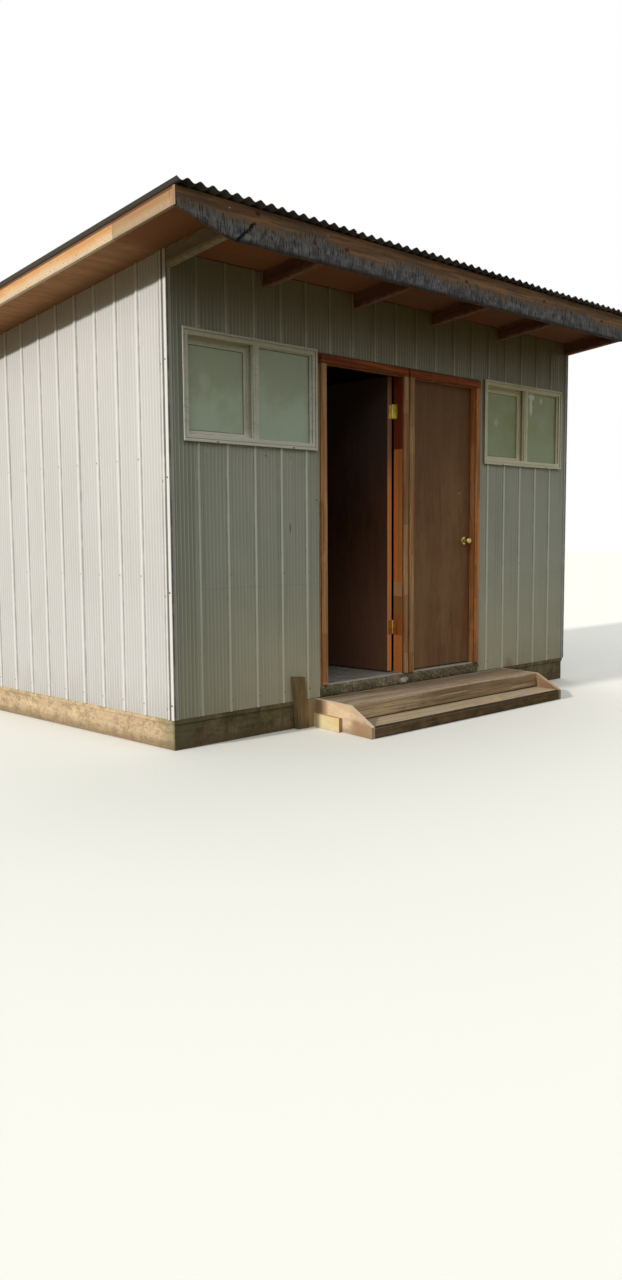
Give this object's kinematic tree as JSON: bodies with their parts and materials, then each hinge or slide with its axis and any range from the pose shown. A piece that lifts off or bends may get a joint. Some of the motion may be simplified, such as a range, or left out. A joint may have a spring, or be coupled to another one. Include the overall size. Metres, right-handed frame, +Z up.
{
  "type": "mono-pitch metal-clad timber outhouse",
  "caption": "Small timber outhouse clad in pressed metal sheet, with a mono-pitch corrugated roof, inward-opening doors, high sliding windows and a plank step.",
  "frame": {"origin": "centre of the underside of the concrete base, on the ground", "axes": "+Z up, +X to the right along the front with the doors, -Y towards the front, +Y towards the low back eave"},
  "size_m": [4.628, 3.338, 2.8354],
  "materials": {
    "concrete_strip": "rough cast concrete",
    "concrete_floor": "trowelled concrete",
    "wall_lining": "plywood lining over studs",
    "pressed_cladding": "satin pressed steel sheet",
    "flashing": "satin folded steel",
    "roof_timber": "rough sawn pine",
    "deck_plywood": "bare plywood",
    "roof_sheet": "dark corrugated steel",
    "front_fascia_board": "weathered pine, grey below",
    "side_fascia_board": "varnished pine",
    "door_frame_pine": "varnished finger-jointed pine",
    "door_plywood": "dark stained plywood",
    "hinge_brass": "brass plated steel",
    "knob_brass": "polished brass",
    "window_aluminium": "cream painted profile",
    "frosted_glass": "frosted",
    "step_plank": "weathered grey plank",
    "new_plank": "pale sawn plank",
    "stake_wood": "weathered offcut"
  },
  "bodies": {
    "building": {"footing": "concrete_strip", "floor_slab": "concrete_floor", "front_wall_left": "wall_lining", "front_wall_right": "wall_lining", "front_wall_over_doors": "wall_lining", "left_wall": "wall_lining", "right_wall": "wall_lining", "back_wall": "wall_lining", "front_cladding": "pressed_cladding", "left_cladding": "pressed_cladding", "right_cladding": "pressed_cladding", "back_cladding": "pressed_cladding", "corner_flashings": "flashing", "rafters": "roof_timber", "eave_blocking": "roof_timber", "roof_deck": "deck_plywood", "purlins": "roof_timber", "roof_sheets": "roof_sheet", "front_fascia": "front_fascia_board", "back_fascia": "side_fascia_board", "left_fascia": "side_fascia_board", "right_fascia": "side_fascia_board", "left_door_frame": "door_frame_pine", "right_door_frame": "door_frame_pine", "left_door_hinges": "hinge_brass", "right_door_hinges": "hinge_brass", "left_window_frame": "window_aluminium", "left_window_sash": "window_aluminium", "left_window_glass": "frosted_glass", "right_window_frame": "window_aluminium", "right_window_sash": "window_aluminium", "right_window_glass": "frosted_glass", "upper_tread": "step_plank", "lower_tread": "step_plank", "step_risers": "step_plank", "left_cheek": "step_plank", "right_cheek": "step_plank", "side_boards": "new_plank", "stake": "stake_wood"},
    "left_door": {"left_door_leaf": "door_plywood", "left_door_hinge_flaps": "hinge_brass", "left_door_knobs": "knob_brass"},
    "right_door": {"right_door_leaf": "door_plywood", "right_door_hinge_flaps": "hinge_brass", "right_door_knobs": "knob_brass"}
  },
  "joints": [
    {"name": "left_door_swing", "type": "hinge", "parent": "building", "child": "left_door", "pos_m": [-0.0525, -1.137, 0.245], "axis": [0, 0, 1], "range_deg": [0, 90]},
    {"name": "right_door_swing", "type": "hinge", "parent": "building", "child": "right_door", "pos_m": [0.0525, -1.137, 0.245], "axis": [0, 0, 1], "range_deg": [0, 90]}
  ]
}
